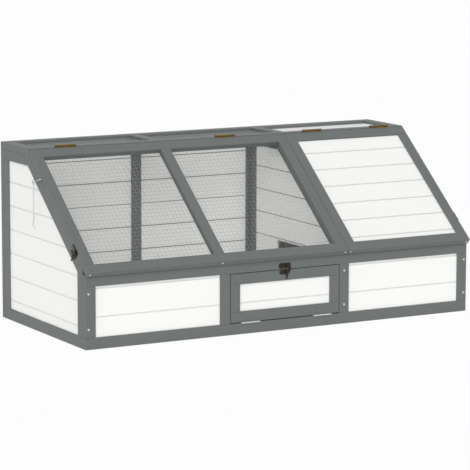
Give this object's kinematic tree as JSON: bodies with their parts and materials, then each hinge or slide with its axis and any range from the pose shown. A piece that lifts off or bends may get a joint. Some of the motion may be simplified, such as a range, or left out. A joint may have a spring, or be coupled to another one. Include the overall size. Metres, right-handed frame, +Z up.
{
  "type": "tortoise enclosure",
  "caption": "Low timber enclosure for a tortoise: open-bottomed wire run and boarded house, with sloping hinged lids, a flat top and a drop-down front door.",
  "frame": {"origin": "on the ground under the middle of the whole enclosure's overall box", "axes": "+Z is up, +X runs along the length to the right, +Y points to the back, and the front door faces -Y"},
  "size_m": [1.4946, 0.6698, 0.6073],
  "materials": {
    "painted_frame": "grey water-based paint over planed softwood",
    "painted_boards": "off-white paint over planed tongue-and-groove boards",
    "galvanised_mesh": "galvanised welded wire",
    "brass_hinges": "brass-plated, dull",
    "bronze_latches": "dark bronze",
    "zinc_plated_steel": "bright zinc plate"
  },
  "bodies": {
    "enclosure": {"back_boards": "painted_boards", "back_posts": "painted_frame", "back_rails": "painted_frame", "divider_boards": "painted_boards", "divider_posts": "painted_frame", "divider_rails": "painted_frame", "divider_top_rail": "painted_frame", "door_hinge_pins": "zinc_plated_steel", "door_hinge_rail_leaves": "zinc_plated_steel", "front_bottom_rail": "painted_frame", "front_door_posts": "painted_frame", "front_end_stiles": "painted_frame", "front_left_boards": "painted_boards", "front_right_boards": "painted_boards", "front_screws": "zinc_plated_steel", "front_top_rail": "painted_frame", "latch_keepers": "bronze_latches", "left_side_boards": "painted_boards", "left_side_bottom_rail": "painted_frame", "left_side_posts": "painted_frame", "left_side_slope_rail": "painted_frame", "left_side_top_rail": "painted_frame", "lid_hinge_pins": "brass_hinges", "lid_hinge_top_leaves": "brass_hinges", "right_side_boards": "painted_boards", "right_side_bottom_rail": "painted_frame", "right_side_posts": "painted_frame", "right_side_slope_rail": "painted_frame", "right_side_top_rail": "painted_frame", "side_eyes": "zinc_plated_steel", "top_bars": "painted_frame", "top_boards": "painted_boards", "top_left_mesh": "galvanised_mesh", "top_middle_mesh": "galvanised_mesh", "top_rails": "painted_frame"},
    "left_lid": {"left_lid_rails": "painted_frame", "left_lid_stiles": "painted_frame", "left_lid_left_mesh": "galvanised_mesh", "left_lid_right_mesh": "galvanised_mesh", "left_lid_screws": "zinc_plated_steel", "left_lid_hinge_leaves": "brass_hinges", "left_latch_plate": "bronze_latches", "left_lid_eye": "zinc_plated_steel"},
    "right_lid": {"right_lid_rails": "painted_frame", "right_lid_stiles": "painted_frame", "right_lid_boards": "painted_boards", "right_lid_screws": "zinc_plated_steel", "right_lid_hinge_leaves": "brass_hinges", "right_latch_plate": "bronze_latches", "right_lid_eye": "zinc_plated_steel"},
    "door": {"door_rails": "painted_frame", "door_stiles": "painted_frame", "door_boards": "painted_boards", "door_hinge_door_leaves": "zinc_plated_steel", "door_latch_plate": "bronze_latches"},
    "left_latch_arm": {"left_latch_arm": "bronze_latches"},
    "right_latch_arm": {"right_latch_arm": "bronze_latches"},
    "door_latch_arm": {"door_latch_arm": "bronze_latches"},
    "left_stay_hook": {"left_stay_hook": "zinc_plated_steel"},
    "right_stay_hook": {"right_stay_hook": "zinc_plated_steel"}
  },
  "joints": [
    {"name": "left_lid_hinge", "type": "hinge", "parent": "enclosure", "child": "left_lid", "pos_m": [0, 0.1024, 0.6038], "axis": [-1, 0, 0], "range_deg": [0, 180]},
    {"name": "right_lid_hinge", "type": "hinge", "parent": "enclosure", "child": "right_lid", "pos_m": [0, 0.1024, 0.6038], "axis": [-1, 0, 0], "range_deg": [0, 180]},
    {"name": "door_hinge", "type": "hinge", "parent": "enclosure", "child": "door", "pos_m": [0, -0.3184, 0.038], "axis": [1, 0, 0], "range_deg": [0, 95]},
    {"name": "left_latch_pivot", "type": "hinge", "parent": "left_lid", "child": "left_latch_arm", "pos_m": [-0.725, -0.24859, 0.30787], "axis": [-1, 0, 0], "range_deg": [0, 80]},
    {"name": "right_latch_pivot", "type": "hinge", "parent": "right_lid", "child": "right_latch_arm", "pos_m": [0.725, -0.24859, 0.30787], "axis": [-1, 0, 0], "range_deg": [0, 80]},
    {"name": "door_latch_pivot", "type": "hinge", "parent": "door", "child": "door_latch_arm", "pos_m": [0.01, -0.3151, 0.194], "axis": [0, 1, 0], "range_deg": [0, 80]},
    {"name": "left_hook_swing", "type": "hinge", "parent": "enclosure", "child": "left_stay_hook", "pos_m": [-0.741, 0.03672, 0.49671], "axis": [1, 0, 0], "range_deg": [-158, 158]},
    {"name": "right_hook_swing", "type": "hinge", "parent": "enclosure", "child": "right_stay_hook", "pos_m": [0.741, 0.03672, 0.49671], "axis": [1, 0, 0], "range_deg": [-158, 158]}
  ]
}
